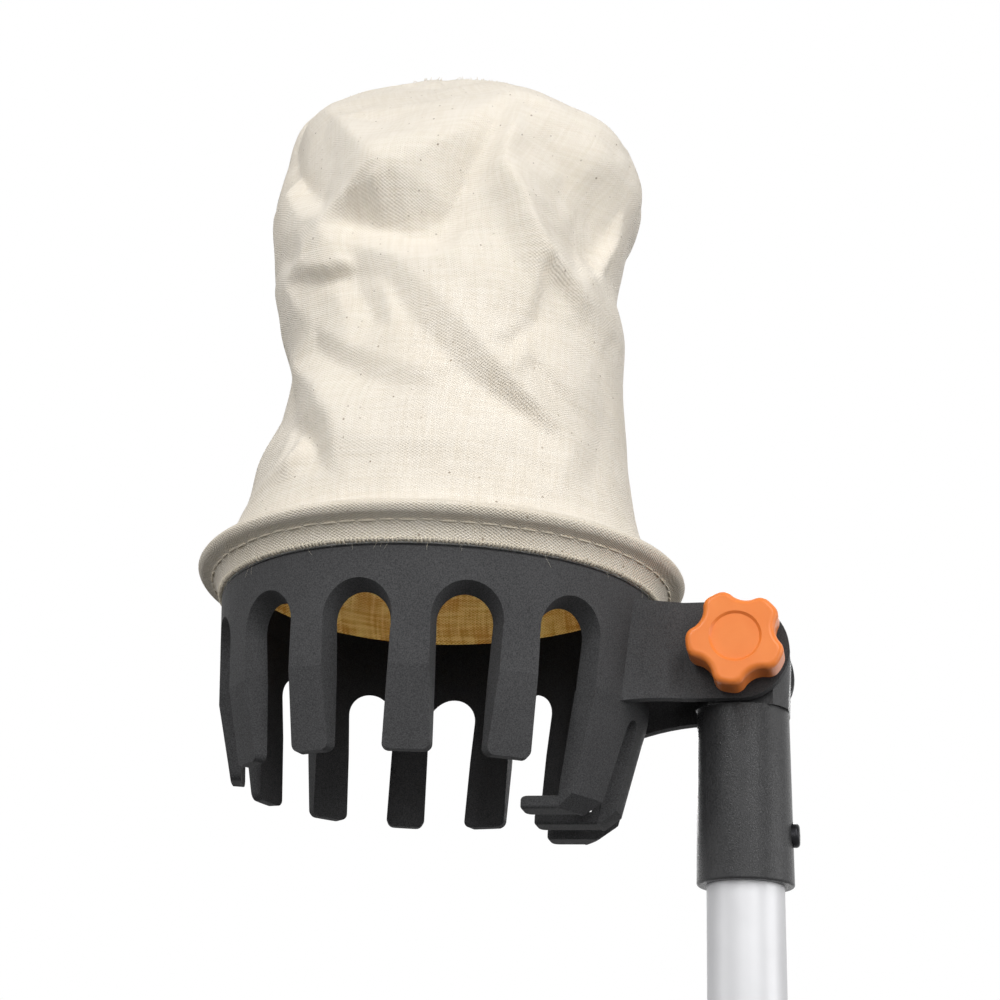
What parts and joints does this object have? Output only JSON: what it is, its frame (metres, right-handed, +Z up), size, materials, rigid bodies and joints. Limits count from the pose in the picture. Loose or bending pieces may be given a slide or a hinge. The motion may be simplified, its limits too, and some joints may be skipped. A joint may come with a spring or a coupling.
{
  "type": "fruit picker head",
  "caption": "Pole-mounted fruit picker head: an oval comb ring with hook tines and a canvas bag, tilting on a knob-clamped clevis at the pole's end.",
  "frame": {"origin": "centre of the pole's lower end", "axes": "+Z up the pole, -X from the pole towards the comb ring, -Y towards the clamping knob"},
  "size_m": [0.2118, 0.1596, 0.4428],
  "materials": {
    "pole_aluminium": "satin anodised",
    "black_plastic": "fine matte grain",
    "black_steel": "black oxide, satin",
    "bolt_steel": "zinc plated",
    "washer_plastic": "matte",
    "orange_plastic": "satin",
    "canvas": "natural cotton canvas",
    "elastic": "woven"
  },
  "bodies": {
    "pole": {"pole_tube": "pole_aluminium", "pole_socket": "black_plastic", "socket_screw": "black_steel"},
    "head": {"picker_head": "black_plastic", "pivot_bolt": "bolt_steel", "friction_washer_near": "washer_plastic", "friction_washer_far": "washer_plastic", "hem_band": "canvas", "hem_elastic": "elastic", "bag_front_panel": "canvas", "bag_back_panel": "canvas"},
    "knob_washer": {"knob_washer": "bolt_steel"},
    "knob": {"knob": "orange_plastic", "knob_nut": "bolt_steel"}
  },
  "joints": [
    {"name": "head_tilt", "type": "hinge", "parent": "pole", "child": "head", "pos_m": [0, 0, 0.19235], "axis": [0, 1, 0], "range_deg": [0, 180]},
    {"name": "washer_slide", "type": "slide", "parent": "head", "child": "knob_washer", "axis": [0, -1, 0], "range_m": [0, 0.002]},
    {"name": "knob_turn", "type": "hinge", "parent": "knob_washer", "child": "knob", "pos_m": [0, 0, 0.19235], "axis": [0, -1, 0], "range_deg": [0, 720]}
  ],
  "couplings": [
    {"joint": "washer_slide", "follows": "knob_turn", "m_per_rad": 0.00015915}
  ]
}
